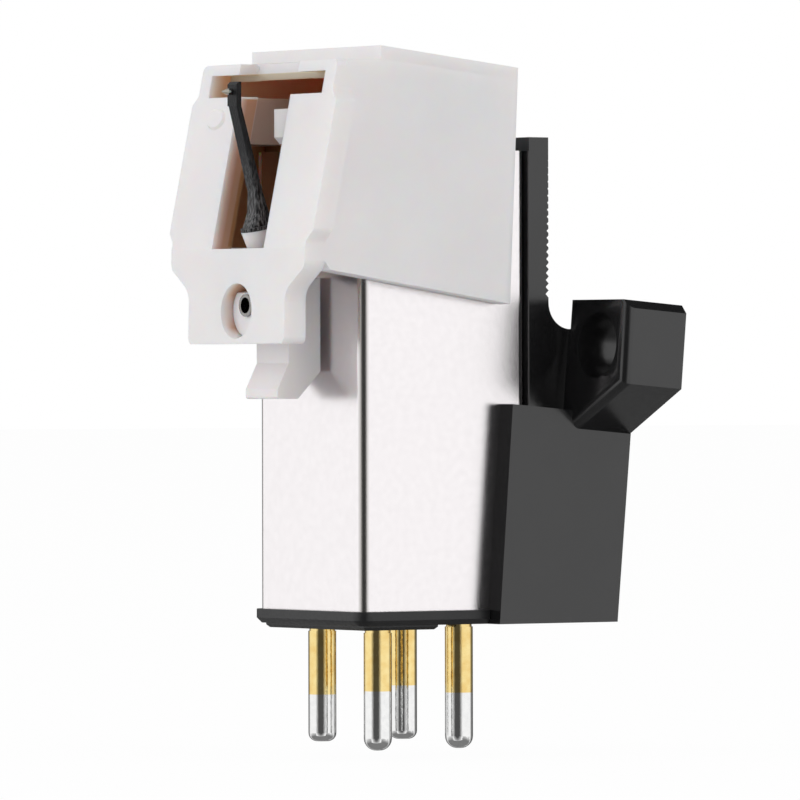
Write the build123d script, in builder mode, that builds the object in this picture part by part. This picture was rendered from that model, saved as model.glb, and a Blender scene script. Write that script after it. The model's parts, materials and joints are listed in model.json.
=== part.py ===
from build123d import *
import math
import os

os.makedirs("parts", exist_ok=True)

# Phono cartridge for a turntable, in millimetres.
# X runs along the line of the two mounting holes, +Y faces the headshell,
# +Z runs along the shield can from the connection pins to the nose.
# The origin is the middle of the two mounting holes, on the mounting face.

# Mounting face and screw holes
hole_spacing = 12.7
hole_d = 2.8
mount_incline = 4.8

# Shield can
can_width = 7.9
can_depth = 8.45
can_length = 19.55
can_wall = 0.3
can_corner = 0.38
can_face_y = -13.55
can_bottom_z = -10.99
slot_width = 4.7
slot_depth = 5.14

can_half = can_width / 2
can_back_y = can_face_y + can_depth
can_top_z = can_bottom_z + can_length
can_in_half = can_half - can_wall
can_mid_y = can_face_y + can_depth / 2
slot_bottom_z = can_top_z - slot_depth

# Terminal plate and pins
terminal_rim = 0.24
terminal_thick = 0.6
terminal_pad = 0.2
terminal_plug = 0.8
terminal_bevel = 0.22
pad_depth = 3.8
pad_bevel = 0.12
pin_d = 1.2
pin_neck_d = 1.1
pin_neck = 0.15
pin_pitch = 4.2
pin_shift = 0.1
pin_reach = 5.14
pin_left_short = 0.26
pin_left_round = 0.36
pin_right_round = 0.52
pin_tail = 1.6
pin_mid_y = can_mid_y - pin_shift
pin_front_y = pin_mid_y - pin_pitch / 2
pin_back_y = pin_mid_y + pin_pitch / 2
pin_inner_z = can_bottom_z + pin_tail
terminal_z = can_bottom_z - terminal_thick
pad_z = terminal_z - terminal_pad
pin_right_end_z = pad_z - pin_reach
pin_left_end_z = pin_right_end_z + pin_left_short
plug_top_z = can_bottom_z + terminal_plug

# Mounting body
plate_half = 4.2
plate_thick = 1.02
plate_rise = 0.58
rib_pitch = 0.3
rib_depth = 0.15
rib_count = 20
rib_lift = 0.0066
rib_above_web = 0.35
block_half = 4.9
block_height = 9.35
cheek_top_reach = 1.35
cheek_bottom_reach = 2.05
web_front_z = 0.95
web_fillet = 1.15
ear_wall = 0.65
ear_thick = 3.1
ear_front_v = 1.95
ear_rear_v = -1.63
gusset_v = -3.55
ear_bevel = 0.35
ear_round = 0.4
ear_overlap = 0.25
ear_step = 0.15
plate_back_y = can_back_y + plate_thick
plate_top_z = can_top_z + plate_rise
block_bottom_z = can_bottom_z - terminal_thick
block_top_z = block_bottom_z + block_height
cheek_top_y = can_back_y - cheek_top_reach
cheek_bottom_y = can_back_y - cheek_bottom_reach
ear_half = hole_spacing / 2 + hole_d / 2 + ear_wall
ear_inner_x = plate_half - ear_overlap
ear_edge_x = plate_half + ear_step
ear_web_v = web_front_z - ear_overlap
rib_first_z = web_front_z + web_fillet + rib_above_web
tilt = math.radians(mount_incline)
tilt_tan = math.tan(tilt)
mount_plane = Plane(origin=(0, 0, 0), x_dir=(1, 0, 0), z_dir=(0, math.cos(tilt), -math.sin(tilt)))

# Cores, bobbins and windings
leg_width = 0.9
leg_pitch = 3.55
core_x = 1.75
yoke_above_can = 2.99
yoke_height = 1.0
tip_reach = 2.3
tip_height = 0.35
tip_drop = 5.11
tip_gap = 0.15
bobbin_wall = 0.25
bobbin_flange = 0.4
bobbin_half = 1.45
bobbin_length = 9.0
winding_half = 1.3
winding_corner = 0.4
lead_r = 0.1
lead_offset = 0.3
strap_thick = 0.15
strap_width = 1.9
strap_height = 1.2
holder_half = 2.2
holder_depth = 2.2
holder_web = 0.36
holder_cap = 0.8
leg_front_y = can_mid_y - leg_pitch / 2
leg_back_y = can_mid_y + leg_pitch / 2
yoke_z = can_bottom_z + yoke_above_can
yoke_top_z = yoke_z + yoke_height
bobbin_top_z = yoke_top_z + bobbin_length
tip_reach_y = can_face_y - tip_reach
tip_low_z = can_top_z - tip_drop
tip_high_z = tip_low_z + tip_height + tip_gap
lead_x = pin_pitch / 2 + lead_offset

# Stylus shell: heights are from the can's nose end, depths from its record face
shell_gap = 0.15
core_half = 4.88
panel_half = 5.1
ridge_half = 5.48
plate_slope = 12.06
shell_plate = 1.0
knee_out = 3.68
knee_drop = 4.2
plate_low_out = 3.8
plate_low_drop = 8.23
plate_low_half = 3.66
plate_rim_rise = 3.69
box_front_in = 0.33
box_back_inset = 1.03
box_front_rise = 4.32
box_back_rise = 3.5
box_wall = 0.8
side_front_out = 2.4
side_front_drop = 5.14
side_back_inset = 1.47
side_back_drop = 6.56
panel_step = 0.3
panel_front_rise = 3.72
panel_back_rise = 3.02
panel_corner = 0.5
window_half = 4.32
window_rise = 3.24
window_step_rise = 2.29
window_low_half = 1.98
notch_half = 2.25
rim_thick = 0.85
deck_rise = 3.44
ledge_rise = 2.24
shelf_rise = 0.28
ridge_top_rise = 1.99
ridge_low_drop = 3.51
ridge_run = 0.4
waist_drop = 5.01
waist_round = 0.5
neck_drop = 6.01
neck_fillet = 0.9
outline_round = 0.3
plate_hole_r = 1.17
plate_hole_drop = 6.84
seat_half = 3.9
stop_half = 0.6
stop_out = 1.4
stop_top_rise = 1.74
stop_low_rise = 0.19
stop_bevel = 0.35
bump_x = -3.45
bump_rise = 1.37
bump_half_width = 0.7
bump_half_height = 0.46
bump_height = 0.1
bump_bevel = 0.09
shell_in_half = can_half + shell_gap
knee_y = can_face_y - knee_out
knee_z = can_top_z - knee_drop
plate_low_y = can_face_y - plate_low_out
plate_low_z = can_top_z - plate_low_drop
plate_rim_z = can_top_z + plate_rim_rise
box_front_y = can_face_y + box_front_in
box_back_y = can_back_y - box_back_inset
box_front_z = can_top_z + box_front_rise
box_back_z = can_top_z + box_back_rise
side_front_y = can_face_y - side_front_out
side_back_low_y = can_back_y - side_back_inset
side_rear_front_z = can_top_z - side_front_drop
side_rear_back_z = can_top_z - side_back_drop
panel_top_front_z = can_top_z + panel_front_rise
panel_top_back_z = can_top_z + panel_back_rise
window_top_z = can_top_z + window_rise
window_step_z = can_top_z + window_step_rise
deck_z = can_top_z + deck_rise
ledge_top_z = can_top_z + ledge_rise
shelf_z = can_top_z + shelf_rise
ridge_top_z = can_top_z + ridge_top_rise
ridge_low_z = can_top_z - ridge_low_drop
waist_z = can_top_z - waist_drop
neck_z = can_top_z - neck_drop
plate_hole_z = can_top_z - plate_hole_drop
stop_y = can_face_y - stop_out
stop_top_z = can_top_z + stop_top_rise
stop_low_z = can_top_z + stop_low_rise
bump_z = can_top_z + bump_rise
slope = math.radians(plate_slope)
slope_tan = math.tan(slope)
plate_rim_y = knee_y + (plate_rim_z - knee_z) * slope_tan
rim_back_y = plate_rim_y + rim_thick
window_top_y = knee_y + (window_top_z - knee_z) * slope_tan
window_step_y = knee_y + (window_step_z - knee_z) * slope_tan
shelf_y = knee_y + (shelf_z - knee_z) * slope_tan
bump_y = knee_y + (bump_z - knee_z) * slope_tan
bump_plane = Plane(origin=(bump_x, bump_y, bump_z), x_dir=(1, 0, 0), z_dir=(0, -math.cos(slope), math.sin(slope)))
side_rear_low_z = side_rear_back_z + panel_step * (
    (side_rear_front_z - side_rear_back_z) / (side_back_low_y - side_front_y)
)

# Suspension axis, from the foot of the cantilever back to the wire clamp
lean = 12.3
foot_drop = 3.39
foot_out = 2.66
damper_front = 1.95
damper_thick = 0.55
damper_r = 0.6
damper_bore_r = 0.18
damper_gap = 0.06
foot_z = can_top_z - foot_drop
foot_y = can_face_y - foot_out
lean_sin = math.sin(math.radians(lean))
lean_cos = math.cos(math.radians(lean))
seat_back = damper_front + damper_thick
suspension_plane = Plane(origin=(0, foot_y, foot_z), x_dir=(1, 0, 0), z_dir=(0, -lean_sin, lean_cos))

# Carrier and wire clamp
carrier_half = 1.21
carrier_gap = 0.28
carrier_out = 1.91
carrier_low_drop = 8.06
carrier_top_drop = 5.26
hook_out = 2.47
hook_start_drop = 9.06
hook_out_drop = 10.14
hook_end_drop = 10.56
hook_bevel_drop = 9.4
hook_bevel = 1.15
hook_round = 0.12
boss_r = 1.1
boss_depth = 0.5
clamp_drop = 6.6
clamp_r = 0.48
clamp_bore_r = 0.34
clamp_length = 2.2
clamp_proud = 0.12
wire_r = 0.06
wire_hole_r = 0.1
wire_front = 1.5
wire_sleeve = 0.1
carrier_can_y = can_face_y - carrier_gap
carrier_face_y = can_face_y - carrier_out
carrier_low_z = can_top_z - carrier_low_drop
carrier_top_z = can_top_z - carrier_top_drop
carrier_rest_y = knee_y + shell_plate
hook_y = can_face_y - hook_out
hook_start_z = can_top_z - hook_start_drop
hook_out_z = can_top_z - hook_out_drop
hook_end_z = can_top_z - hook_end_drop
hook_bevel_z = can_top_z - hook_bevel_drop
boss_face_y = carrier_rest_y - boss_depth
clamp_z = can_top_z - clamp_drop
clamp_back = (foot_z - clamp_z) / lean_cos - seat_back
wire_back = seat_back + clamp_back

# Cantilever, holder, magnets and point
flange_r = 0.71
flange_thick = 0.16
foot_room = 0.15
cone_taper = 11
cone_length = 1.1
magnet_r = 0.3
magnet_length = 1.4
magnet_start = 0.45
magnet_offset = 0.62
magnet_wall = 0.12
flare_width = 1.16
flare_thick = 1.1
flare_corner = 0.4
shin_length = 0.75
shin_width = 0.98
shin_thick = 0.66
shin_corner = 0.22
shin_shift = 0.17
root_length = 1.6
root_width = 0.76
root_thick = 0.36
root_corner = 0.12
root_shift = 0.22
beam_length = 5.45
beam_width = 0.7
beam_thick = 0.24
beam_corner = 0.07
end_length = 1.03
end_back = 0.12
end_bevel = 0.12
shank_r = 0.14
shank_length = 0.22
point_r = 0.13
point_length = 0.28
point_taper = 20
point_down = 0.42
end_y = foot_y - beam_length * lean_sin
end_z = foot_z + beam_length * lean_cos - end_back
end_plane = Plane(origin=(0, end_y, end_z), x_dir=(1, 0, 0), z_dir=(0, 0, 1))
point_z = end_z + end_length - point_down
point_plane = Plane(origin=(0, end_y - beam_thick / 2, point_z), x_dir=(1, 0, 0), z_dir=(0, -1, 0))

# The two sides and the two rows that repeated pieces stand in
sides = (("right", 1), ("left", -1))
leg_rows = (("front", leg_front_y), ("back", leg_back_y))
pin_rows = (("front", pin_front_y), ("back", pin_back_y))

# Shield can: folded sheet tube, open at both ends, with a slot for the pole tips
with BuildPart() as shield_can:
    with BuildSketch(Plane.XY.offset(can_bottom_z)):
        with Locations((0, can_mid_y)):
            RectangleRounded(can_width, can_depth, can_corner)
            RectangleRounded(
                can_width - 2 * can_wall,
                can_depth - 2 * can_wall,
                can_corner - can_wall,
                mode=Mode.SUBTRACT,
            )
    extrude(amount=can_length)
    with BuildSketch(Plane.XZ.offset(-can_face_y)):
        with Locations((0, (slot_bottom_z + can_top_z) / 2)):
            Rectangle(slot_width, can_top_z - slot_bottom_z)
    extrude(amount=-can_wall, mode=Mode.SUBTRACT)
shield_can.part.label = "shield_can"
export_step(shield_can.part, "parts/shield_can.step")

# Terminal plate: rim under the can, plug inside it, pad under the front pins
with BuildPart() as terminal_plate:
    with BuildSketch(Plane.XY.offset(terminal_z)) as rim:
        with Locations((0, can_face_y - terminal_rim)):
            Rectangle(
                can_width + 2 * terminal_rim,
                cheek_bottom_y - can_face_y + terminal_rim,
                align=(Align.CENTER, Align.MIN),
            )
        fillet(rim.vertices().group_by(Axis.Y)[0], can_corner + terminal_rim)
    extrude(amount=terminal_thick)
    rim_edges = terminal_plate.edges().group_by(Axis.Z)[0]
    chamfer(rim_edges.filter_by(lambda e: e.center().Y < cheek_bottom_y - terminal_rim), terminal_bevel)
    with BuildSketch(Plane.XY.offset(terminal_z)):
        with Locations((0, cheek_bottom_y)):
            Rectangle(can_width, can_back_y - cheek_bottom_y, align=(Align.CENTER, Align.MIN))
    extrude(amount=terminal_thick)
    with BuildSketch(Plane.XY.offset(pad_z)):
        with Locations((0, can_face_y + terminal_bevel)):
            Rectangle(can_width - 2 * terminal_bevel, pad_depth, align=(Align.CENTER, Align.MIN))
    extrude(amount=terminal_pad)
    chamfer(terminal_plate.edges().group_by(Axis.Z)[0], pad_bevel)
    with BuildSketch(Plane.XY.offset(can_bottom_z)):
        with Locations((0, can_mid_y)):
            RectangleRounded(
                can_width - 2 * can_wall,
                can_depth - 2 * can_wall,
                can_corner - can_wall,
            )
    extrude(amount=terminal_plug)
    with BuildSketch(Plane.XY.offset(pad_z)):
        with Locations((0, pin_mid_y)):
            with GridLocations(pin_pitch, pin_pitch, 2, 2):
                Circle(pin_neck_d / 2)
    extrude(amount=terminal_pad + terminal_thick + terminal_plug, mode=Mode.SUBTRACT)
terminal_plate.part.label = "terminal_plate"
export_step(terminal_plate.part, "parts/terminal_plate.step")

# Four connection pins: a barrel with a rounded end and a thinner neck through the plate
for side_name, side, end_z_pin, end_round in (
    ("left", -1, pin_left_end_z, pin_left_round),
    ("right", 1, pin_right_end_z, pin_right_round),
):
    for use, row_y, seat_z in (("signal", pin_front_y, pad_z), ("return", pin_back_y, terminal_z)):
        neck_z_pin = seat_z - pin_neck
        with BuildPart() as pin:
            with BuildSketch(Plane.XY.offset(end_z_pin)):
                with Locations((side * pin_pitch / 2, row_y)):
                    Circle(pin_d / 2)
            extrude(amount=neck_z_pin - end_z_pin)
            fillet(pin.edges().sort_by(Axis.Z)[0], end_round)
            with BuildSketch(Plane.XY.offset(neck_z_pin)):
                with Locations((side * pin_pitch / 2, row_y)):
                    Circle(pin_neck_d / 2)
            extrude(amount=pin_inner_z - neck_z_pin)
        pin.part.label = f"pin_{side_name}_{use}"
        export_step(pin.part, f"parts/{pin.part.label}.step")

# Mounting body: two ears with gussets, ribbed plate, block with cheeks beside the can
with BuildPart() as mounting_body:
    with BuildSketch(mount_plane):
        with BuildLine():
            Polyline(
                (ear_edge_x, -ear_front_v),
                (ear_half - ear_bevel, -ear_front_v),
                (ear_half, -ear_front_v + ear_bevel),
                (ear_half, -ear_rear_v),
                (block_half, -gusset_v),
                (ear_inner_x, -gusset_v),
                (ear_inner_x, -ear_web_v),
                (ear_edge_x, -ear_web_v),
                close=True,
            )
        make_face()
        mirror(about=Plane.YZ)
    extrude(amount=-ear_thick)
    ear_edges = mounting_body.edges().filter_by(
        lambda e: abs(e.center().X) > block_half
        and mount_plane.to_local_coords(e.center()).Z < ear_round - ear_thick
        and mount_plane.to_local_coords(e.center()).Y > ear_bevel - ear_front_v
    )
    fillet(ear_edges, ear_round)
    with BuildSketch(Plane.YZ):
        with BuildLine():
            Polyline(
                (can_back_y, block_bottom_z),
                (can_back_y, plate_top_z),
                (plate_back_y, plate_top_z),
                (plate_back_y, web_front_z + web_fillet),
            )
            RadiusArc(
                (plate_back_y, web_front_z + web_fillet),
                (plate_back_y + web_fillet, web_front_z),
                -web_fillet,
            )
            Polyline(
                (plate_back_y + web_fillet, web_front_z),
                (web_front_z * tilt_tan, web_front_z),
                (block_bottom_z * tilt_tan, block_bottom_z),
                (can_back_y, block_bottom_z),
            )
        make_face()
    extrude(amount=plate_half, both=True)
    with BuildSketch(Plane.YZ):
        with BuildLine():
            Polyline(
                (cheek_bottom_y, block_bottom_z),
                (cheek_top_y, block_top_z),
                (block_top_z * tilt_tan, block_top_z + cheek_top_y * tilt_tan),
                (block_bottom_z * tilt_tan, block_bottom_z),
                close=True,
            )
        make_face()
    extrude(amount=block_half, both=True)
    with BuildSketch(mount_plane):
        with Locations((-hole_spacing / 2, 0), (hole_spacing / 2, 0)):
            Circle(hole_d / 2)
    extrude(amount=-ear_thick, mode=Mode.SUBTRACT)
    with BuildSketch(Plane.XY.offset(block_bottom_z)):
        with Locations((0, can_mid_y)):
            Rectangle(can_width, can_depth)
    extrude(amount=can_length + terminal_thick, mode=Mode.SUBTRACT)
    with BuildSketch(Plane.YZ):
        for rib in range(rib_count):
            with Locations((plate_back_y + rib * rib_lift, rib_first_z + rib * rib_pitch)):
                Rectangle(rib_depth * math.sqrt(2), rib_depth * math.sqrt(2), rotation=45)
    extrude(amount=plate_half, both=True, mode=Mode.SUBTRACT)
mounting_body.part.label = "mounting_body"
export_step(mounting_body.part, "parts/mounting_body.step")

# Cores: one flat U of laminated alloy for each channel, both pole tips reaching out of the can
with BuildPart() as core_right:
    with BuildSketch(Plane.YZ.offset(core_x - leg_width / 2)):
        with BuildLine():
            Polyline(
                (leg_front_y - leg_width / 2, yoke_z),
                (leg_back_y + leg_width / 2, yoke_z),
                (leg_back_y + leg_width / 2, tip_high_z + tip_height),
                (tip_reach_y, tip_high_z + tip_height),
                (tip_reach_y, tip_high_z),
                (leg_back_y - leg_width / 2, tip_high_z),
                (leg_back_y - leg_width / 2, yoke_top_z),
                (leg_front_y + leg_width / 2, yoke_top_z),
                (leg_front_y + leg_width / 2, tip_low_z + tip_height),
                (tip_reach_y, tip_low_z + tip_height),
                (tip_reach_y, tip_low_z),
                (leg_front_y - leg_width / 2, tip_low_z),
                close=True,
            )
        make_face()
    extrude(amount=leg_width)
core_right.part.label = "core_right"
export_step(core_right.part, "parts/core_right.step")

with BuildPart() as core_left:
    add(core_right.part)
    mirror(about=Plane.YZ, mode=Mode.REPLACE)
core_left.part.label = "core_left"
export_step(core_left.part, "parts/core_left.step")

# Bobbins: square tubes with a flange at each end, on the four core legs
# Windings: copper wound solid between the flanges
for side_name, side in sides:
    for row_name, leg_y in leg_rows:
        with BuildPart() as bobbin:
            for flange_z in (yoke_top_z, bobbin_top_z - bobbin_flange):
                with BuildSketch(Plane.XY.offset(flange_z)):
                    with Locations((side * core_x, leg_y)):
                        Rectangle(2 * bobbin_half, 2 * bobbin_half)
                extrude(amount=bobbin_flange)
            with BuildSketch(Plane.XY.offset(yoke_top_z)):
                with Locations((side * core_x, leg_y)):
                    Rectangle(leg_width + 2 * bobbin_wall, leg_width + 2 * bobbin_wall)
            extrude(amount=bobbin_length)
            with BuildSketch(Plane.XY.offset(yoke_top_z)):
                with Locations((side * core_x, leg_y)):
                    Rectangle(leg_width, leg_width)
            extrude(amount=bobbin_length, mode=Mode.SUBTRACT)
        bobbin.part.label = f"bobbin_{side_name}_{row_name}"
        export_step(bobbin.part, f"parts/{bobbin.part.label}.step")

        with BuildPart() as winding:
            with BuildSketch(Plane.XY.offset(yoke_top_z + bobbin_flange)):
                with Locations((side * core_x, leg_y)):
                    RectangleRounded(2 * winding_half, 2 * winding_half, winding_corner)
                    Rectangle(
                        leg_width + 2 * bobbin_wall,
                        leg_width + 2 * bobbin_wall,
                        mode=Mode.SUBTRACT,
                    )
            extrude(amount=bobbin_length - 2 * bobbin_flange)
        winding.part.label = f"winding_{side_name}_{row_name}"
        export_step(winding.part, f"parts/{winding.part.label}.step")

# Leads: one wire from each pin to the bobbin above it
for side_name, side in sides:
    for row_name, row_y in pin_rows:
        with BuildPart() as lead:
            with BuildSketch(Plane.XY.offset(pin_inner_z)):
                with Locations((side * lead_x, row_y)):
                    Circle(lead_r)
            extrude(amount=yoke_top_z - pin_inner_z)
        lead.part.label = f"lead_{side_name}_{row_name}"
        export_step(lead.part, f"parts/{lead.part.label}.step")

# Ground strap: ties the can to the return pin of the right channel
with BuildPart() as ground_strap:
    with BuildSketch(Plane.XY.offset(plug_top_z)):
        with Locations((can_in_half, pin_back_y)):
            Rectangle(
                can_in_half - pin_pitch / 2 + strap_width / 2,
                strap_width,
                align=(Align.MAX, Align.CENTER),
            )
        with Locations((pin_pitch / 2, pin_back_y)):
            Circle(pin_neck_d / 2, mode=Mode.SUBTRACT)
    extrude(amount=strap_thick)
    with BuildSketch(Plane.XY.offset(plug_top_z)):
        with Locations((can_in_half, pin_back_y)):
            Rectangle(strap_thick, strap_width, align=(Align.MAX, Align.CENTER))
    extrude(amount=strap_height)
ground_strap.part.label = "ground_strap"
export_step(ground_strap.part, "parts/ground_strap.step")

# Core holder: foot under the yokes, web between the bobbins, cap that closes the can's front
with BuildPart() as core_holder:
    with BuildSketch(Plane.XY.offset(plug_top_z)):
        with Locations((0, can_mid_y)):
            Rectangle(2 * holder_half, holder_depth)
    extrude(amount=yoke_z - plug_top_z)
    with BuildSketch(Plane.XY.offset(yoke_z)):
        with Locations((0, can_mid_y)):
            Rectangle(holder_web, holder_depth)
    extrude(amount=can_top_z - yoke_z)
    with BuildSketch(Plane.XY.offset(can_top_z - holder_cap)):
        with Locations((0, can_mid_y)):
            RectangleRounded(
                can_width - 2 * can_wall,
                can_depth - 2 * can_wall,
                can_corner - can_wall,
            )
    extrude(amount=holder_cap)
core_holder.part.label = "core_holder"
export_step(core_holder.part, "parts/core_holder.step")

# Stylus shell: sloped record side plate with a T window, side walls over the can, nose box
with BuildPart() as stylus_shell:
    with BuildSketch(Plane.YZ):
        with BuildLine():
            Polyline(
                (plate_rim_y, plate_rim_z),
                (knee_y, knee_z),
                (plate_low_y, plate_low_z),
                (knee_y + shell_plate, plate_low_z),
                (knee_y + shell_plate, knee_z),
                (plate_rim_y + shell_plate, plate_rim_z),
                close=True,
            )
        make_face()
    extrude(amount=ridge_half, both=True)
    with BuildSketch(Plane.XZ):
        with BuildLine():
            FilletPolyline(
                (0, plate_rim_z),
                (panel_half, plate_rim_z),
                (panel_half, ridge_top_z + ridge_run),
                (ridge_half, ridge_top_z),
                (ridge_half, ridge_low_z),
                (panel_half, ridge_low_z - ridge_run),
                (panel_half, waist_z),
                (plate_low_half, neck_z),
                (plate_low_half, plate_low_z),
                (0, plate_low_z),
                radius=[outline_round] * 5 + [waist_round, neck_fillet, outline_round],
            )
            Line((0, plate_low_z), (0, plate_rim_z))
        make_face()
        mirror(about=Plane.YZ)
    extrude(amount=can_length, both=True, mode=Mode.INTERSECT)
    with BuildSketch(Plane.YZ):
        with BuildLine():
            Polyline(
                (side_front_y, side_rear_front_z),
                (side_back_low_y, side_rear_back_z),
                (box_back_y, box_back_z),
                (box_front_y, box_front_z),
                (box_front_y, panel_top_front_z),
                (plate_rim_y + shell_plate / 2, plate_rim_z),
                (knee_y + shell_plate / 2, knee_z),
                close=True,
            )
        make_face()
    extrude(amount=core_half, both=True)
    with BuildSketch(Plane.YZ):
        with BuildLine():
            Polyline(
                (side_front_y, side_rear_front_z),
                (side_back_low_y - panel_step, side_rear_low_z),
                (box_back_y - panel_step, panel_top_back_z - panel_corner),
            )
            RadiusArc(
                (box_back_y - panel_step, panel_top_back_z - panel_corner),
                (box_back_y - panel_step - panel_corner, panel_top_back_z),
                -panel_corner,
            )
            Polyline(
                (box_back_y - panel_step - panel_corner, panel_top_back_z),
                (box_front_y, panel_top_front_z),
                (plate_rim_y + shell_plate / 2, plate_rim_z),
                (knee_y + shell_plate / 2, knee_z),
                (side_front_y, side_rear_front_z),
            )
        make_face()
    extrude(amount=panel_half, both=True)
    with BuildSketch(Plane.YZ):
        with BuildLine():
            Polyline(
                (can_face_y, can_bottom_z),
                (can_face_y, can_top_z),
                (can_back_y, can_top_z),
                (can_back_y, can_bottom_z),
                close=True,
            )
        make_face()
    extrude(amount=shell_in_half, both=True, mode=Mode.SUBTRACT)
    with BuildSketch(Plane.YZ):
        with BuildLine():
            Polyline(
                (knee_y + shell_plate, plate_low_z),
                (knee_y + shell_plate, knee_z),
                (shelf_y + shell_plate, shelf_z),
                (box_front_y, shelf_z),
                (box_front_y, can_top_z),
                (can_face_y, can_top_z),
                (can_face_y, plate_low_z),
                close=True,
            )
        make_face()
    extrude(amount=seat_half, both=True, mode=Mode.SUBTRACT)
    with BuildSketch(Plane.YZ):
        with BuildLine():
            Polyline(
                (shelf_y + shell_plate, shelf_z),
                (window_top_y + shell_plate, window_top_z),
                (box_front_y, window_top_z),
                (box_front_y, shelf_z),
                close=True,
            )
        make_face()
    extrude(amount=window_low_half, both=True, mode=Mode.SUBTRACT)
    with BuildSketch(Plane.YZ):
        with BuildLine():
            Polyline(
                (window_step_y + shell_plate, ledge_top_z),
                (window_top_y + shell_plate, window_top_z),
                (box_back_y - box_wall, window_top_z),
                (box_back_y - box_wall, can_top_z + box_wall),
                (box_front_y + box_wall, can_top_z + box_wall),
                (box_front_y + box_wall, ledge_top_z),
                close=True,
            )
        make_face()
    extrude(amount=window_half, both=True, mode=Mode.SUBTRACT)
    with BuildSketch(Plane.XZ.offset(-knee_y)):
        with Locations((0, (window_top_z + window_step_z) / 2)):
            Rectangle(2 * window_half, window_top_z - window_step_z)
        with Locations((0, (window_top_z + knee_z) / 2)):
            Rectangle(2 * window_low_half, window_top_z - knee_z)
        with Locations((0, window_top_z)):
            Rectangle(2 * notch_half, plate_rim_z - window_top_z, align=(Align.CENTER, Align.MIN))
    extrude(amount=-(rim_back_y - knee_y), mode=Mode.SUBTRACT)
    with BuildSketch(Plane.XZ.offset(-rim_back_y)):
        with Locations((0, deck_z)):
            Rectangle(2 * window_half, box_front_z - deck_z, align=(Align.CENTER, Align.MIN))
    extrude(amount=-(box_front_y - rim_back_y), mode=Mode.SUBTRACT)
    with BuildSketch(bump_plane):
        Ellipse(bump_half_width, bump_half_height)
    extrude(amount=bump_height)
    chamfer(stylus_shell.edges(Select.LAST).sort_by(Axis(bump_plane.origin, bump_plane.z_dir))[-1], bump_bevel)
    with BuildSketch(Plane.XZ.offset(-plate_low_y)):
        with Locations((0, plate_hole_z)):
            Circle(plate_hole_r)
    extrude(amount=-(carrier_rest_y - plate_low_y), mode=Mode.SUBTRACT)
    with BuildSketch(suspension_plane):
        Circle(flange_r + foot_room)
    extrude(amount=-seat_back, mode=Mode.SUBTRACT)
    with BuildSketch(Plane.YZ):
        with BuildLine():
            Polyline(
                (box_front_y, stop_low_z),
                (stop_y + stop_bevel, stop_low_z),
                (stop_y, stop_low_z + stop_bevel),
                (stop_y, stop_top_z),
                (box_front_y, stop_top_z),
                close=True,
            )
        make_face()
    extrude(amount=stop_half, both=True)
stylus_shell.part.label = "stylus_shell"
export_step(stylus_shell.part, "parts/stylus_shell.step")

# Stylus carrier: block behind the lower plate, with a boss in its hole and a finger hook
with BuildPart() as stylus_carrier:
    with BuildSketch(Plane.YZ) as carrier_profile:
        with BuildLine():
            Polyline(
                (carrier_can_y, hook_bevel_z),
                (carrier_can_y - hook_bevel, hook_end_z),
                (hook_y, hook_end_z),
                (hook_y, hook_out_z),
                (carrier_face_y, hook_start_z),
                (carrier_face_y, carrier_low_z),
                (carrier_rest_y, carrier_low_z),
                (carrier_rest_y, carrier_top_z),
                (carrier_can_y, carrier_top_z),
                close=True,
            )
        make_face()
        fillet(carrier_profile.vertices().filter_by(lambda v: v.Z < carrier_low_z), hook_round)
    extrude(amount=carrier_half, both=True)
    with BuildSketch(Plane.XZ.offset(-carrier_rest_y)):
        with Locations((0, plate_hole_z)):
            Circle(boss_r)
    extrude(amount=boss_depth)
    with BuildSketch(Plane.XZ.offset(-boss_face_y)):
        with Locations((0, clamp_z)):
            Circle(clamp_r)
    extrude(amount=-clamp_length, mode=Mode.SUBTRACT)
    with BuildSketch(suspension_plane.offset(-seat_back)):
        Rectangle(4 * carrier_half, 4 * carrier_half)
    extrude(amount=carrier_half * 2, mode=Mode.SUBTRACT)
    with BuildSketch(suspension_plane.offset(-seat_back)):
        Circle(wire_hole_r)
    extrude(amount=-clamp_back, mode=Mode.SUBTRACT)
stylus_carrier.part.label = "stylus_carrier"
export_step(stylus_carrier.part, "parts/stylus_carrier.step")

# Wire clamp: short metal tube across the suspension axis, pierced for the wire
with BuildPart() as wire_clamp:
    with BuildSketch(Plane.XZ.offset(clamp_proud - boss_face_y)):
        with Locations((0, clamp_z)):
            Circle(clamp_r)
            Circle(clamp_bore_r, mode=Mode.SUBTRACT)
    extrude(amount=-(clamp_proud + clamp_length))
    with BuildSketch(suspension_plane.offset(-seat_back)):
        Circle(wire_hole_r)
    extrude(amount=-clamp_back, mode=Mode.SUBTRACT)
wire_clamp.part.label = "wire_clamp"
export_step(wire_clamp.part, "parts/wire_clamp.step")

# Suspension wire: from inside the magnet holder back through the damper to the clamp
with BuildPart() as suspension_wire:
    with BuildSketch(suspension_plane.offset(-wire_front)):
        Circle(wire_r)
    extrude(amount=-(wire_back - wire_front))
    with BuildSketch(suspension_plane.offset(-seat_back)):
        Circle(wire_hole_r)
    extrude(amount=-wire_sleeve)
suspension_wire.part.label = "suspension_wire"
export_step(suspension_wire.part, "parts/suspension_wire.step")

# Damper: rubber ring between the carrier's seat and the magnet holder
with BuildPart() as damper:
    with BuildSketch(suspension_plane.offset(-seat_back + damper_gap)):
        Circle(damper_r)
        Circle(damper_bore_r, mode=Mode.SUBTRACT)
    extrude(amount=damper_thick - 2 * damper_gap)
damper.part.label = "damper"
export_step(damper.part, "parts/damper.step")

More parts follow.
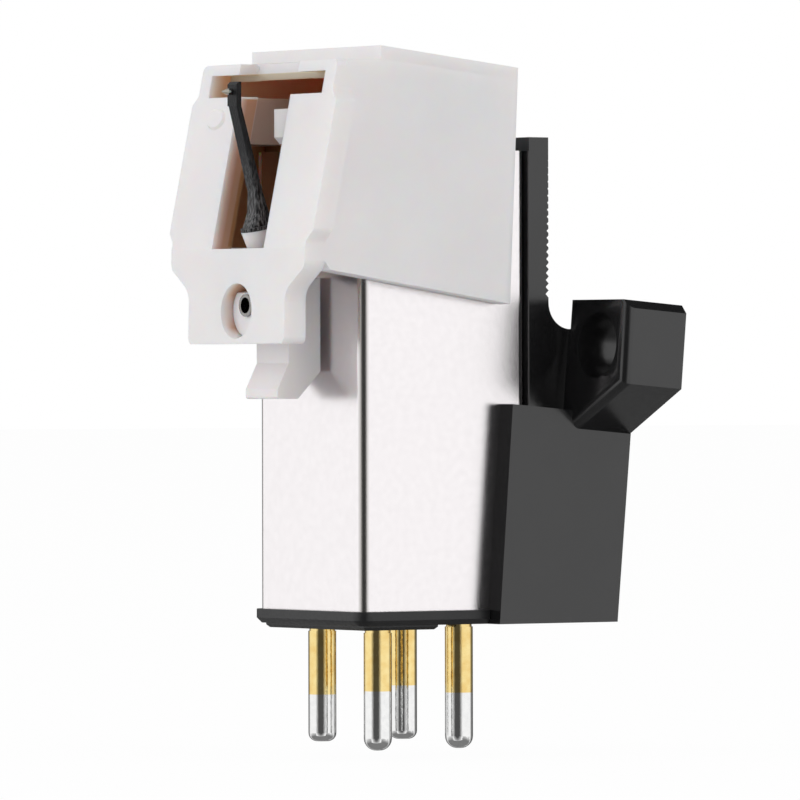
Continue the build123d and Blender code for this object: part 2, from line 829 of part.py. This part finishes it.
# Magnet holder: cone under the cantilever foot with a cheek for each magnet
with BuildPart() as magnet_holder:
    with BuildSketch(suspension_plane):
        Circle(flange_r)
    extrude(amount=-cone_length, taper=cone_taper)
    with BuildSketch(suspension_plane.offset(-magnet_start)):
        with Locations((-magnet_offset, magnet_offset), (magnet_offset, magnet_offset)):
            Circle(magnet_r + magnet_wall)
        with Locations((0, magnet_offset / 2)):
            Rectangle(2 * magnet_offset, magnet_offset)
    extrude(amount=-(damper_front - magnet_start))
    with BuildSketch(suspension_plane.offset(-damper_front)):
        with Locations((-magnet_offset, magnet_offset), (magnet_offset, magnet_offset)):
            Circle(magnet_r)
    extrude(amount=magnet_length, mode=Mode.SUBTRACT)
    with BuildSketch(suspension_plane):
        Circle(damper_bore_r)
    extrude(amount=-damper_front, mode=Mode.SUBTRACT)
magnet_holder.part.label = "magnet_holder"
export_step(magnet_holder.part, "parts/magnet_holder.step")

# Magnets: two rods in a V on the can side of the suspension axis
with BuildPart() as magnet_right:
    with BuildSketch(suspension_plane.offset(-damper_front)):
        with Locations((magnet_offset, magnet_offset)):
            Circle(magnet_r)
    extrude(amount=magnet_length)
magnet_right.part.label = "magnet_right"
export_step(magnet_right.part, "parts/magnet_right.step")

with BuildPart() as magnet_left:
    add(magnet_right.part)
    mirror(about=Plane.YZ, mode=Mode.REPLACE)
magnet_left.part.label = "magnet_left"
export_step(magnet_left.part, "parts/magnet_left.step")

# Cantilever: foot flange, flared root, flat strip and an end bent upright for the point
with BuildPart() as cantilever:
    with BuildSketch(suspension_plane):
        Circle(flange_r)
    extrude(amount=flange_thick)
    with BuildSketch(suspension_plane.offset(flange_thick)):
        RectangleRounded(flare_width, flare_thick, flare_corner)
    with BuildSketch(suspension_plane.offset(shin_length)):
        with Locations((0, shin_shift)):
            RectangleRounded(shin_width, shin_thick, shin_corner)
    with BuildSketch(suspension_plane.offset(root_length)):
        with Locations((0, root_shift)):
            RectangleRounded(root_width, root_thick, root_corner)
    with BuildSketch(suspension_plane.offset(beam_length)):
        RectangleRounded(beam_width, beam_thick, beam_corner)
    loft(ruled=True)
    with BuildSketch(end_plane):
        Rectangle(beam_width, beam_thick)
    extrude(amount=end_length)
    chamfer(cantilever.edges().group_by(Axis.Z)[-1].sort_by(Axis.Y)[0], end_bevel)
    with BuildSketch(point_plane):
        Circle(shank_r)
    extrude(amount=-beam_thick, mode=Mode.SUBTRACT)
cantilever.part.label = "cantilever"
export_step(cantilever.part, "parts/cantilever.step")

# Tip shank: small metal pin set in the cantilever's end, holding the point
with BuildPart() as tip_shank:
    with BuildSketch(point_plane.offset(-beam_thick)):
        Circle(shank_r)
    extrude(amount=beam_thick + shank_length)
tip_shank.part.label = "tip_shank"
export_step(tip_shank.part, "parts/tip_shank.step")

# Stylus point: plain cone on the end of the shank
with BuildPart() as stylus_point:
    with BuildSketch(point_plane.offset(shank_length)):
        Circle(point_r)
    extrude(amount=point_length, taper=point_taper)
stylus_point.part.label = "stylus_point"
export_step(stylus_point.part, "parts/stylus_point.step")
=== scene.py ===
import bpy
import json
import math
from mathutils import Matrix, Vector


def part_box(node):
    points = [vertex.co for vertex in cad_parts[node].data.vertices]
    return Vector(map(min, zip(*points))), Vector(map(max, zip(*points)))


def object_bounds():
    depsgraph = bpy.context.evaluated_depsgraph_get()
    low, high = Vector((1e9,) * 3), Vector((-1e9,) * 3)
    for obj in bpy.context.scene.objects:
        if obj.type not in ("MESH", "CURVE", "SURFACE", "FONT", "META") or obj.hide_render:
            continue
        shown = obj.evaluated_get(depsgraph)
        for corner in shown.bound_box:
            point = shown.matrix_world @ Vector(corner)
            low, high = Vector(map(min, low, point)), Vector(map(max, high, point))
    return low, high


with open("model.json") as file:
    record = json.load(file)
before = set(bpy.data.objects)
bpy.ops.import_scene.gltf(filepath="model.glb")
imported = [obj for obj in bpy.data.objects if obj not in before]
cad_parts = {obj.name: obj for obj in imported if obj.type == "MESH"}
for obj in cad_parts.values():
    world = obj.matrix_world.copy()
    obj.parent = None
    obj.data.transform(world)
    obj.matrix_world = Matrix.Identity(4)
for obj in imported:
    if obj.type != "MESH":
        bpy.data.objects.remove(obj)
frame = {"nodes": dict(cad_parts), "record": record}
nodes = frame["nodes"]
cad_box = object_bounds()

# Lengths are in metres and colours are linear.
MM = 0.001
WHITE = (1.0, 1.0, 1.0)
EVEN = (1.0, 1.0, 1.0)

# Camera: long lens, level with the part, on the record side
VIEW_AZIMUTH = math.radians(55.42)
VIEW_ELEVATION = math.radians(0.157)
VIEW_ROLL = math.radians(-0.116)
VIEW_DISTANCE = 381.7 * MM
VIEW_ASIDE = -7.33 * MM
VIEW_RAISE = -2.08 * MM
VIEW_NEAREST = 10.0 * MM
LENS_MM = 396.0
SENSOR_MM = 36.0

# Floor and world
FLOOR_DROP = 0.4 * MM
FLOOR_SIZE = 4.0
FLOOR_COLOUR = (0.9, 0.9, 0.9)
FLOOR_ROUGH = 0.9
FLOOR_WHITE = 0.97
WORLD_FILL = 0.5
WORLD_SEEN = 1.0

# Soft lamps: degrees round from the camera and up from level, distance, width, height, level
SOFTBOXES = {
    "key": (-75.0, 15.0, 0.55, 0.45, 0.6, 1.5),
    "fill": (75.0, 15.0, 0.55, 0.45, 0.6, 0.95),
    "top": (10.0, 75.0, 0.6, 0.5, 0.5, 0.8),
}

# Screens that metal and gloss mirror, in the same order, with the level of their dark middle
CARDS = {
    "card_front": (-13.0, 0.0, 0.28, 0.54, 0.8, 0.08),
    "card_back": (172.0, 0.0, 0.28, 1.5, 0.8, 0.12),
    "card_below": (0.0, -90.0, 0.28, 2.4, 2.4, 0.21),
    "card_above": (125.0, 55.0, 0.28, 0.6, 0.6, 0.04),
}
CARD_DARK_TO = 0.18
CARD_WHITE_FROM = 0.48

# Width and steps of the rounding on each node whose edges are softened
EDGES = {
    "mounting_body": (0.08 * MM, 2),
    "stylus_carrier": (0.08 * MM, 2),
    "terminal_plate": (0.08 * MM, 2),
    "stylus_shell": (0.15 * MM, 3),
}
WELD_REACH = 0.002 * MM
FLAT_ANGLE = math.radians(0.5)
SHARP_ANGLE = math.radians(35.0)

# Most of a noise lies between these values.
NOISE_LOW = 0.3
NOISE_HIGH = 0.7
NOISE_DETAIL = 3.0

# Plastics: two colours of the mottling, least and most roughness, grain and depth of the skin
FLOW_GRAIN = 3.0 * MM
PLASTICS = {
    "black_plastic": ((0.006, 0.006, 0.0065), (0.010, 0.010, 0.0105), 0.14, 0.22, 0.2 * MM, 0.001 * MM),
    "black_board": ((0.007, 0.007, 0.008), (0.014, 0.014, 0.015), 0.30, 0.44, 0.12 * MM, 0.006 * MM),
    "bobbin_plastic": ((0.50, 0.45, 0.35), (0.58, 0.53, 0.42), 0.45, 0.6, 0.1 * MM, 0.002 * MM),
    "damper_rubber": ((0.03, 0.03, 0.03), (0.06, 0.06, 0.06), 0.6, 0.8, 0.08 * MM, 0.004 * MM),
}
WHITE_STYRENE = ((0.86, 0.83, 0.835), (0.89, 0.86, 0.865), 0.36, 0.46, 0.25 * MM, 0.002 * MM)
BLACK_SPECULAR = 0.78

# How much of the light enters white plastic, how far by colour, and the depth in the shell and in small pieces
GLOW_SHARE = 0.6
GLOW_RADIUS = (1.0, 0.6, 0.4)
SHELL_GLOW = 1.2 * MM
SMALL_GLOW = 0.3 * MM

# Metals: two colours, least and most roughness, grain, its depth and how it is stretched
PATCH_GRAINS = 8.0
METAL_DETAIL = 4.0
METALS = {
    "core_alloy": (
        (0.42, 0.41, 0.39), (0.50, 0.49, 0.47), 0.3, 0.45, 0.08 * MM, 0.004 * MM, (1.0, 1.0, 0.2)
    ),
    "copper_wire": (
        (0.60, 0.26, 0.11), (0.78, 0.40, 0.19), 0.25, 0.4, 0.06 * MM, 0.01 * MM, (0.1, 0.1, 1.0)
    ),
    "strap_brass": ((0.68, 0.52, 0.20), (0.78, 0.63, 0.28), 0.25, 0.4, 0.08 * MM, 0.003 * MM, EVEN),
    "bright_steel": ((0.26, 0.25, 0.24), (0.36, 0.35, 0.34), 0.15, 0.28, 0.05 * MM, 0.002 * MM, EVEN),
    "magnet_alloy": ((0.30, 0.30, 0.31), (0.40, 0.40, 0.41), 0.35, 0.5, 0.06 * MM, 0.003 * MM, EVEN),
}
NICKEL = ((0.93, 0.895, 0.905), (0.96, 0.925, 0.935), 0.17, 0.24, 0.045 * MM, 0.004 * MM, EVEN)
GOLD = ((0.87, 0.62, 0.23), (0.97, 0.79, 0.37), 0.06, 0.12, 0.06 * MM, 0.002 * MM, (1.0, 1.0, 0.3))

# Painted dark reflection along the can's bends: how far from its corners the plating is painted darker, and
# how softly that ends
BEND_REACH = 0.36 * MM
BEND_SOFT = 0.18 * MM
BEND_PAINTED_REFLECTION = (0.44, 0.42, 0.40)

# Tin on the pins' ends: its colours, its grain, the heights that it reaches to and the softness of that line
TIN_LOW = (0.84, 0.84, 0.84)
TIN_HIGH = (0.93, 0.93, 0.92)
TIN_GRAIN = 0.3 * MM
TIN_SOFT = 0.01 * MM
TIN_LINES = {
    "pin_left_signal": -14.66 * MM,
    "pin_right_signal": -14.41 * MM,
    "pin_left_return": -14.36 * MM,
    "pin_right_return": -14.55 * MM,
}

# Where the shell's record side plate bends, from the can's corner, how far it leans there and its thickness
KNEE_OUT = 3.68 * MM
KNEE_DROP = 4.2 * MM
PLATE_SLOPE = math.radians(12.06)
PLATE_THICK = 1.0 * MM

# Painted warm shade in the shell's hollows, standing in for light that comes through its walls
NOSE_PAINTED_SHADE = (0.81, 0.61, 0.39)
EDGE_PAINTED_SHADE = (0.62, 0.37, 0.25)
CHEEK_PAINTED_SHADE = (0.51, 0.37, 0.31)
HOLLOW_PAINTED_SHADE = (0.50, 0.23, 0.10)
HOLE_PAINTED_SHADE = (0.72, 0.50, 0.36)

# Sides of those places across the part, and their heights from the can's top
NOSE_HALF = 4.5 * MM
NOSE_HEIGHTS = (2.3 * MM, 3.3 * MM)
NOSE_BACK = 5.0 * MM
WINDOW_HALF = 2.2 * MM
WINDOW_TOP = 2.2 * MM
INNER_HALF = 4.1 * MM
CHEEK_INNER = 1.0 * MM
CHEEK_HEIGHTS = (0.25 * MM, 2.3 * MM)
CHEEK_BACK = 0.5 * MM
HOLLOW_TOP = 0.27 * MM
HOLLOW_FLOOR = 0.1 * MM
HOLLOW_BACK = 0.4 * MM
HOLE_HALF = 1.25 * MM
HOLE_DEPTHS = (0.05 * MM, 1.5 * MM)

# How softly those places end
NOSE_SOFT = 0.05 * MM
WINDOW_SOFT = 0.01 * MM
HOLLOW_SOFT = 0.02 * MM
HOLE_SOFT = 0.3 * MM

# Depths behind the plate's face, or before its back, over which the painted shade sets in
NOSE_FADE = (0.05 * MM, 0.7 * MM)
EDGE_FADE = 0.5 * MM
EDGE_END = 0.06 * MM
BEHIND_FADE = 0.05 * MM
DEEP_FADE = (0.74 * MM, 0.82 * MM)

# Charcoal of the cantilever: fibres along it, darker at its tip, grey at its root
FIBRE_GRAIN = 0.065 * MM
FIBRE_DETAIL = 4.0
FIBRE_STRETCH = (1.0, 1.0, 0.2)
FIBRE_DEPTH = 0.02 * MM
FIBRE_ROUGH = (0.3, 0.5)
FIBRE_SPECULAR = 0.25
TIP_LOW = (0.004, 0.004, 0.005)
TIP_HIGH = (0.018, 0.019, 0.021)
ROOT_LOW = (0.006, 0.006, 0.007)
ROOT_HIGH = (0.19, 0.19, 0.195)
ROOT_RANGE = (0.42, 0.70)
ROOT_HEIGHTS = (0.8 * MM, 3.6 * MM)

# Diamond
DIAMOND_LOW = (0.80, 0.74, 0.55)
DIAMOND_HIGH = (0.92, 0.88, 0.75)
DIAMOND_GRAIN = 0.05 * MM
DIAMOND_ROUGH = 0.08
DIAMOND_IOR = 2.4
DIAMOND_CLEAR = 0.6


# Node helpers


def new_material(name):
    """A material with a Principled shader, its node tree and the shader node."""
    material = bpy.data.materials.new(name)
    material.use_nodes = True
    tree = material.node_tree
    shader = next(n for n in tree.nodes if n.type == "BSDF_PRINCIPLED")
    return material, tree, shader


def output_of(tree):
    """The output node of a material's tree."""
    return next(n for n in tree.nodes if n.type == "OUTPUT_MATERIAL")


def add_node(tree, kind, **inputs):
    """A new node with some of its inputs set by name."""
    node = tree.nodes.new(kind)
    for key, value in inputs.items():
        node.inputs[key.replace("_", " ")].default_value = value
    return node


def noise(tree, grain, detail=NOISE_DETAIL, stretch=EVEN):
    """Noise in the object's own coordinates, whose features are about one grain long."""
    coords = tree.nodes.new("ShaderNodeTexCoord")
    mapping = add_node(tree, "ShaderNodeMapping", Scale=stretch)
    node = add_node(tree, "ShaderNodeTexNoise", Scale=1.0 / grain, Detail=detail)
    tree.links.new(coords.outputs["Object"], mapping.inputs["Vector"])
    tree.links.new(mapping.outputs["Vector"], node.inputs["Vector"])
    return node.outputs["Fac"]


def ramp(tree, value, low, high, low_at=NOISE_LOW, high_at=NOISE_HIGH):
    """A colour ramp between two colours over a part of a value's range."""
    node = tree.nodes.new("ShaderNodeValToRGB")
    first, last = node.color_ramp.elements
    first.position, first.color = low_at, (*low, 1.0)
    last.position, last.color = high_at, (*high, 1.0)
    tree.links.new(value, node.inputs["Fac"])
    return node.outputs["Color"]


def spread(tree, value, low, high):
    """A noise mapped to a range of numbers."""
    node = add_node(
        tree, "ShaderNodeMapRange", From_Min=NOISE_LOW, From_Max=NOISE_HIGH, To_Min=low, To_Max=high
    )
    tree.links.new(value, node.inputs["Value"])
    return node.outputs["Result"]


def bump(tree, shader, height, depth):
    """Relief of a real depth on the shader's surface."""
    node = add_node(tree, "ShaderNodeBump", Strength=1.0, Distance=depth)
    tree.links.new(height, node.inputs["Height"])
    tree.links.new(node.outputs["Normal"], shader.inputs["Normal"])


def part_axis(tree, axis, lean=0.0):
    """One of the part's own coordinates, X, Y or Z, in a frame that leans about X."""
    place = tree.nodes.new("ShaderNodeTexCoord")
    turn = add_node(tree, "ShaderNodeMapping", Rotation=(lean, 0.0, 0.0))
    split = tree.nodes.new("ShaderNodeSeparateXYZ")
    tree.links.new(place.outputs["Object"], turn.inputs["Vector"])
    tree.links.new(turn.outputs["Vector"], split.inputs["Vector"])
    return split.outputs[axis]


def fade(tree, value, one_at, zero_at):
    """One on one side of a value, falling to zero on the other."""
    node = add_node(tree, "ShaderNodeMapRange", From_Min=zero_at, From_Max=one_at)
    tree.links.new(value, node.inputs["Value"])
    return node.outputs["Result"]


def math_of(tree, operation, first, second):
    """A product, maximum or the like of two linked values."""
    node = tree.nodes.new("ShaderNodeMath")
    node.operation = operation
    tree.links.new(first, node.inputs[0])
    tree.links.new(second, node.inputs[1])
    return node.outputs[0]


def within(tree, low, high, soft):
    """One inside a box in the part's frame, with soft edges."""
    total = None
    for axis, start, end in zip("XYZ", low, high):
        value = part_axis(tree, axis)
        for one_at, zero_at in ((start + soft, start), (end - soft, end)):
            side = fade(tree, value, one_at, zero_at)
            total = side if total is None else math_of(tree, "MULTIPLY", total, side)
    return total


def tint(tree, shader, share, colour):
    """Mixes a colour, linked or plain, into the shader's base colour by a share."""
    mix = tree.nodes.new("ShaderNodeMix")
    mix.data_type = "RGBA"
    base = shader.inputs["Base Color"].links[0].from_socket
    tree.links.new(share, mix.inputs["Factor"])
    tree.links.new(base, mix.inputs["A"])
    if isinstance(colour, tuple):
        mix.inputs["B"].default_value = (*colour, 1.0)
    else:
        tree.links.new(colour, mix.inputs["B"])
    tree.links.new(mix.outputs["Result"], shader.inputs["Base Color"])


# Materials


def moulded_plastic(name, low, high, rough_low, rough_high, grain, depth):
    """Moulded plastic: faint flow mottling in the colour, a finer one in the gloss."""
    material, tree, shader = new_material(name)
    tree.links.new(ramp(tree, noise(tree, FLOW_GRAIN), low, high), shader.inputs["Base Color"])
    fine = noise(tree, grain)
    tree.links.new(spread(tree, fine, rough_low, rough_high), shader.inputs["Roughness"])
    bump(tree, shader, fine, depth)
    return material, tree, shader


def white_plastic(name, depth):
    """White styrene, which light enters to about a depth."""
    material, tree, shader = moulded_plastic(name, *WHITE_STYRENE)
    shader.inputs["Subsurface Weight"].default_value = GLOW_SHARE
    shader.inputs["Subsurface Radius"].default_value = GLOW_RADIUS
    shader.inputs["Subsurface Scale"].default_value = depth
    return material, tree, shader


def shell_plastic():
    """The shell's white, with painted warm shade in its hollows, standing in for light that comes through the
    walls.
    """
    material, tree, shader = white_plastic("shell_plastic", SHELL_GLOW)
    can_low, can_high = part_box("shield_can")
    face, top = can_low.y, can_high.z
    knee = face - KNEE_OUT
    clamp_low, clamp_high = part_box("wire_clamp")
    hole_z = (clamp_low.z + clamp_high.z) / 2
    depth = part_axis(tree, "Y", PLATE_SLOPE)
    front = knee * math.cos(PLATE_SLOPE) - (top - KNEE_DROP) * math.sin(PLATE_SLOPE)
    back = front + PLATE_THICK
    behind = fade(tree, depth, back, back - BEHIND_FADE)

    # Painted warm shade inside the nose, standing in for light that comes through its walls
    nose = within(
        tree,
        (-NOSE_HALF, knee, top + NOSE_HEIGHTS[0]),
        (NOSE_HALF, face + NOSE_BACK, top + NOSE_HEIGHTS[1]),
        NOSE_SOFT,
    )
    nose_depth = fade(tree, depth, front + NOSE_FADE[1], front + NOSE_FADE[0])
    tint(tree, shader, math_of(tree, "MULTIPLY", nose, nose_depth), NOSE_PAINTED_SHADE)

    # Painted shade along the window's inner edge, browner further behind the plate's face
    window = within(
        tree,
        (-WINDOW_HALF, knee, top - KNEE_DROP),
        (WINDOW_HALF, face, top + WINDOW_TOP),
        WINDOW_SOFT,
    )
    in_plate = math_of(tree, "MULTIPLY", window, fade(tree, depth, back - EDGE_END, back))
    inward = fade(tree, depth, front + EDGE_FADE, front)
    tint(tree, shader, math_of(tree, "MULTIPLY", in_plate, inward), EDGE_PAINTED_SHADE)

    # Painted shade on the cheeks beside the window, behind the plate
    for left, right in ((-INNER_HALF, -CHEEK_INNER), (CHEEK_INNER, INNER_HALF)):
        cheek = within(
            tree,
            (left, knee, top + CHEEK_HEIGHTS[0]),
            (right, face + CHEEK_BACK, top + CHEEK_HEIGHTS[1]),
            HOLLOW_SOFT,
        )
        tint(tree, shader, math_of(tree, "MULTIPLY", cheek, behind), CHEEK_PAINTED_SHADE)

    # Painted dark shade deep in the hollow behind the plate
    hollow = within(
        tree,
        (-INNER_HALF, knee, top - KNEE_DROP + HOLLOW_FLOOR),
        (INNER_HALF, face + HOLLOW_BACK, top + HOLLOW_TOP),
        HOLLOW_SOFT,
    )
    deep = fade(tree, depth, front + DEEP_FADE[1], front + DEEP_FADE[0])
    tint(tree, shader, math_of(tree, "MULTIPLY", hollow, deep), HOLLOW_PAINTED_SHADE)

    # Painted warm shade on the wall of the wire clamp's hole
    hole = within(
        tree,
        (-HOLE_HALF, knee + HOLE_DEPTHS[0], hole_z - HOLE_HALF),
        (HOLE_HALF, knee + HOLE_DEPTHS[1], hole_z + HOLE_HALF),
        HOLE_SOFT,
    )
    tint(tree, shader, hole, HOLE_PAINTED_SHADE)
    return material


def black_plastic():
    """Glossy black moulding with a fine skin."""
    material, _, shader = moulded_plastic("black_plastic", *PLASTICS["black_plastic"])
    shader.inputs["Specular IOR Level"].default_value = BLACK_SPECULAR
    return material


def metal(name, low, high, rough_low, rough_high, grain, depth, stretch):
    """Bare or plated metal with a grain of its own, round or drawn out."""
    material, tree, shader = new_material(name)
    shader.inputs["Metallic"].default_value = 1.0
    fine = noise(tree, grain, METAL_DETAIL, stretch)
    patches = noise(tree, PATCH_GRAINS * grain)
    tree.links.new(ramp(tree, patches, low, high), shader.inputs["Base Color"])
    tree.links.new(spread(tree, fine, rough_low, rough_high), shader.inputs["Roughness"])
    bump(tree, shader, fine, depth)
    return material, tree, shader


def nickel_plate():
    """Satin nickel of the can, with a fine pebbled skin and a painted dark reflection along the bends of its
    record side.
    """
    material, tree, shader = metal("nickel_plate", *NICKEL)
    low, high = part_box("shield_can")
    # Painted dark reflection along the can's two record-side bends
    for side in (low.x, high.x):
        bend = within(
            tree,
            (side - BEND_REACH, low.y - BEND_REACH, low.z - BEND_REACH),
            (side + BEND_REACH, low.y + BEND_REACH, high.z + BEND_REACH),
            BEND_SOFT,
        )
        tint(tree, shader, bend, BEND_PAINTED_REFLECTION)
    return material


def pin_plate(name, tin_z):
    """Gold plate, with the pin's end dipped in tin up to a height."""
    material, tree, shader = metal(name, *GOLD)
    tin = ramp(tree, noise(tree, TIN_GRAIN), TIN_LOW, TIN_HIGH)
    dipped = fade(tree, part_axis(tree, "Z"), tin_z - TIN_SOFT, tin_z + TIN_SOFT)
    tint(tree, shader, dipped, tin)
    return material


def carbon_plastic():
    """Charcoal moulding filled with short fibres along the arm, which show grey at its root."""
    material, tree, shader = new_material("carbon_plastic")
    fibres = noise(tree, FIBRE_GRAIN, FIBRE_DETAIL, FIBRE_STRETCH)
    tree.links.new(ramp(tree, fibres, TIP_LOW, TIP_HIGH), shader.inputs["Base Color"])
    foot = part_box("cantilever")[0].z
    root = fade(tree, part_axis(tree, "Z"), foot + ROOT_HEIGHTS[0], foot + ROOT_HEIGHTS[1])
    tint(tree, shader, root, ramp(tree, fibres, ROOT_LOW, ROOT_HIGH, *ROOT_RANGE))
    tree.links.new(spread(tree, fibres, *FIBRE_ROUGH), shader.inputs["Roughness"])
    shader.inputs["Specular IOR Level"].default_value = FIBRE_SPECULAR
    bump(tree, shader, fibres, FIBRE_DEPTH)
    return material


def diamond():
    """Polished point: clear, faintly yellow, with a trace of cloud."""
    material, tree, shader = new_material("diamond")
    cloud = ramp(tree, noise(tree, DIAMOND_GRAIN), DIAMOND_LOW, DIAMOND_HIGH)
    tree.links.new(cloud, shader.inputs["Base Color"])
    shader.inputs["Roughness"].default_value = DIAMOND_ROUGH
    shader.inputs["IOR"].default_value = DIAMOND_IOR
    shader.inputs["Transmission Weight"].default_value = DIAMOND_CLEAR
    return material


def dress():
    """Gives every node the material of its record slot, with its own for the shell and the pins."""
    by_node = {name: pin_plate(name, tin_z) for name, tin_z in TIN_LINES.items()}
    by_node["stylus_shell"] = shell_plastic()
    by_slot = {name: metal(name, *values)[0] for name, values in METALS.items()}
    for name in ("black_board", "bobbin_plastic", "damper_rubber"):
        by_slot[name] = moulded_plastic(name, *PLASTICS[name])[0]
    by_slot["black_gloss_plastic"] = black_plastic()
    by_slot["nickel_plate"] = nickel_plate()
    by_slot["white_plastic"] = white_plastic("white_plastic", SMALL_GLOW)[0]
    by_slot["carbon_plastic"] = carbon_plastic()
    by_slot["diamond"] = diamond()
    for part in frame["record"]["subparts"]:
        materials = nodes[part["node"]].data.materials
        materials.clear()
        materials.append(by_node.get(part["node"]) or by_slot[part["material_slot"]])


# Edges


def round_edges(name, width, segments):
    """Softens a node's sharp edges by a small width, with its own solid unchanged."""
    node = nodes[name]
    weld = node.modifiers.new("weld", "WELD")
    weld.merge_threshold = WELD_REACH
    flat = node.modifiers.new("flat", "DECIMATE")
    flat.decimate_type = "DISSOLVE"
    flat.angle_limit = FLAT_ANGLE
    bevel = node.modifiers.new("bevel", "BEVEL")
    bevel.width = width
    bevel.segments = segments
    bevel.limit_method = "ANGLE"
    bevel.angle_limit = SHARP_ANGLE


# Studio


def seen_rays(tree):
    """One where a ray comes from the camera, a reflection or through glass."""
    path = tree.nodes.new("ShaderNodeLightPath")
    total = path.outputs["Is Camera Ray"]
    for kind in ("Is Glossy Ray", "Is Transmission Ray"):
        total = math_of(tree, "MAXIMUM", total, path.outputs[kind])
    return total


def make_world():
    """White where it is seen, a softer fill where it lights."""
    world = bpy.data.worlds.new("studio")
    world.use_nodes = True
    bpy.context.scene.world = world
    tree = world.node_tree
    tree.nodes.clear()
    fill = add_node(tree, "ShaderNodeBackground", Color=(*WHITE, 1.0), Strength=WORLD_FILL)
    seen = add_node(tree, "ShaderNodeBackground", Color=(*WHITE, 1.0), Strength=WORLD_SEEN)
    mix = tree.nodes.new("ShaderNodeMixShader")
    out = tree.nodes.new("ShaderNodeOutputWorld")
    tree.links.new(seen_rays(tree), mix.inputs[0])
    tree.links.new(fill.outputs[0], mix.inputs[1])
    tree.links.new(seen.outputs[0], mix.inputs[2])
    tree.links.new(mix.outputs[0], out.inputs["Surface"])


def make_floor():
    """Pale floor just under the pins, which keeps a faint shadow."""
    height = cad_box[0][2] - FLOOR_DROP
    bpy.ops.mesh.primitive_plane_add(size=FLOOR_SIZE, location=(0.0, 0.0, height))
    floor = bpy.context.object
    floor.name = "floor"
    material, tree, shader = new_material("pale_floor")
    shader.inputs["Base Color"].default_value = (*FLOOR_COLOUR, 1.0)
    shader.inputs["Roughness"].default_value = FLOOR_ROUGH
    white = add_node(tree, "ShaderNodeEmission", Color=(*WHITE, 1.0), Strength=1.0)
    share = tree.nodes.new("ShaderNodeMath")
    share.operation = "MULTIPLY"
    share.inputs[1].default_value = FLOOR_WHITE
    tree.links.new(seen_rays(tree), share.inputs[0])
    mix = tree.nodes.new("ShaderNodeMixShader")
    tree.links.new(share.outputs[0], mix.inputs[0])
    tree.links.new(shader.outputs[0], mix.inputs[1])
    tree.links.new(white.outputs[0], mix.inputs[2])
    tree.links.new(mix.outputs[0], output_of(tree).inputs["Surface"])
    floor.data.materials.append(material)
    floor.visible_glossy = False


def direction(azimuth, elevation):
    """A unit vector at an azimuth from the record side and an elevation from level."""
    return Vector(
        (
            math.cos(elevation) * math.sin(azimuth),
            -math.cos(elevation) * math.cos(azimuth),
            math.sin(elevation),
        )
    )


def aim_from_camera(thing, around, height, distance, at):
    """Faces a lamp or card to a point, at degrees round from the camera and up from level."""
    place = at + distance * direction(VIEW_AZIMUTH + math.radians(around), math.radians(height))
    thing.location = place
    thing.rotation_euler = (at - place).to_track_quat("-Z", "Y").to_euler()


def softbox(name, around, height, distance, width, tall, level, at):
    """A large soft lamp at an angle round from the camera, left out of reflections."""
    data = bpy.data.lights.new(name, "AREA")
    data.shape = "RECTANGLE"
    data.size = width
    data.size_y = tall
    data.energy = level * width * tall * math.pi
    lamp = bpy.data.objects.new(name, data)
    bpy.context.scene.collection.objects.link(lamp)
    aim_from_camera(lamp, around, height, distance, at)
    lamp.visible_camera = False
    lamp.visible_glossy = False


def dark_card(name, around, height, distance, width, tall, level, at):
    """A screen that only reflections see, dark in its middle and fading to white at its edge."""
    bpy.ops.mesh.primitive_plane_add(size=1.0)
    card = bpy.context.object
    card.name = name
    card.scale = (width, tall, 1.0)
    aim_from_camera(card, around, height, distance, at)
    card.visible_camera = False
    card.visible_diffuse = False
    card.visible_shadow = False
    card.visible_transmission = False
    material, tree, shader = new_material(name)
    place = tree.nodes.new("ShaderNodeTexCoord")
    out_from_middle = tree.nodes.new("ShaderNodeVectorMath")
    out_from_middle.operation = "LENGTH"
    tree.links.new(place.outputs["Object"], out_from_middle.inputs[0])
    dark = (level, level, level)
    grey = ramp(tree, out_from_middle.outputs["Value"], dark, WHITE, CARD_DARK_TO, CARD_WHITE_FROM)
    light = tree.nodes.new("ShaderNodeEmission")
    tree.links.new(grey, light.inputs["Color"])
    tree.nodes.remove(shader)
    tree.links.new(light.outputs[0], output_of(tree).inputs["Surface"])
    card.data.materials.append(material)


def make_camera():
    """The photograph's view, with the image centre beside the mounting holes."""
    toward = direction(VIEW_AZIMUTH, VIEW_ELEVATION)
    right = Vector((math.cos(VIEW_AZIMUTH), math.sin(VIEW_AZIMUTH), 0.0))
    up = toward.cross(right)
    centre = VIEW_ASIDE * right + VIEW_RAISE * up
    data = bpy.data.cameras.new("camera")
    data.lens = LENS_MM
    data.sensor_width = SENSOR_MM
    data.clip_start = VIEW_NEAREST
    camera = bpy.data.objects.new("camera", data)
    bpy.context.scene.collection.objects.link(camera)
    turn = Matrix((right, up, toward)).transposed() @ Matrix.Rotation(VIEW_ROLL, 3, "Z")
    camera.matrix_world = Matrix.Translation(centre + VIEW_DISTANCE * toward) @ turn.to_4x4()
    bpy.context.scene.camera = camera


def make_studio():
    """World, floor, soft lamps and the dark screens that metal and gloss mirror."""
    middle = (Vector(cad_box[0]) + Vector(cad_box[1])) / 2
    make_world()
    make_floor()
    for name, values in SOFTBOXES.items():
        softbox(name, *values, middle)
    for name, values in CARDS.items():
        dark_card(name, *values, middle)


dress()
for name, (width, segments) in EDGES.items():
    round_edges(name, width, segments)
make_studio()
make_camera()

bpy.context.scene.view_settings.view_transform = "Standard"
